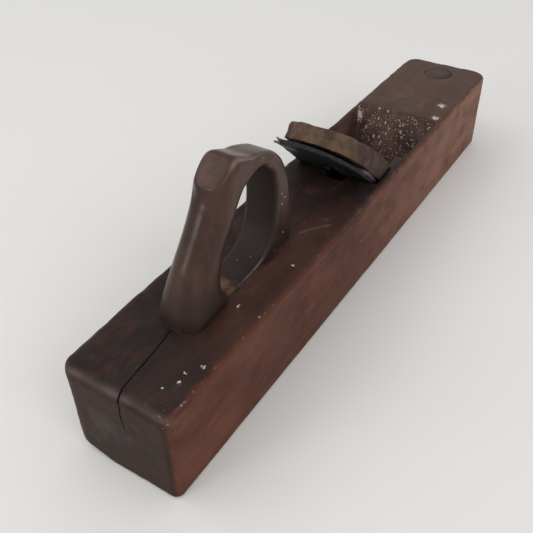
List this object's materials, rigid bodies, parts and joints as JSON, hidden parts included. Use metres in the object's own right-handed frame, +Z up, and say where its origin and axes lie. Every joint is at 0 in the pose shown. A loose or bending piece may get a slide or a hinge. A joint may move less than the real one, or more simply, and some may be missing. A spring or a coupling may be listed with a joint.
{
  "type": "wooden hand plane",
  "caption": "Long wooden bench plane with a closed handle, a wedge that holds a double iron in a sloping bed, and a strike button at the toe.",
  "frame": {"origin": "on the sole, under the middle of the stock", "axes": "+X towards the toe, +Y to the user's left, +Z up from the sole"},
  "size_m": [0.504, 0.0826, 0.1646],
  "materials": {
    "stock_wood": "worn, dark, waxed",
    "handle_wood": "polished by the hand",
    "button_wood": "worn end grain",
    "wedge_wood": "bruised end grain, dry",
    "iron_steel": "dark, lightly rusted",
    "cap_steel": "dark, lightly rusted",
    "nut_brass": "tarnished",
    "screw_steel": "dark, lightly rusted"
  },
  "bodies": {
    "root": {"stock": "stock_wood", "handle": "handle_wood", "strike_button": "button_wood"},
    "wedge": {"wedge": "wedge_wood"},
    "iron": {"cutting_iron": "iron_steel"},
    "cap": {"cap_iron": "cap_steel", "cap_iron_nut": "nut_brass"},
    "screw": {"cap_screw": "screw_steel"}
  },
  "joints": [
    {"name": "wedge_slide", "type": "slide", "parent": "root", "child": "wedge", "axis": [-0.7071, 0, 0.7071], "range_m": [0, 0.09]},
    {"name": "iron_slide", "type": "slide", "parent": "root", "child": "iron", "axis": [-0.7071, 0, 0.7071], "range_m": [-0.001, 0.005]},
    {"name": "cap_slide", "type": "slide", "parent": "iron", "child": "cap", "axis": [-0.7071, 0, 0.7071], "range_m": [0, 0.003]},
    {"name": "screw_turn", "type": "hinge", "parent": "cap", "child": "screw", "pos_m": [0.04611, 0, 0.03889], "axis": [0.7071, 0, 0.7071], "range_deg": [0, 270]}
  ]
}
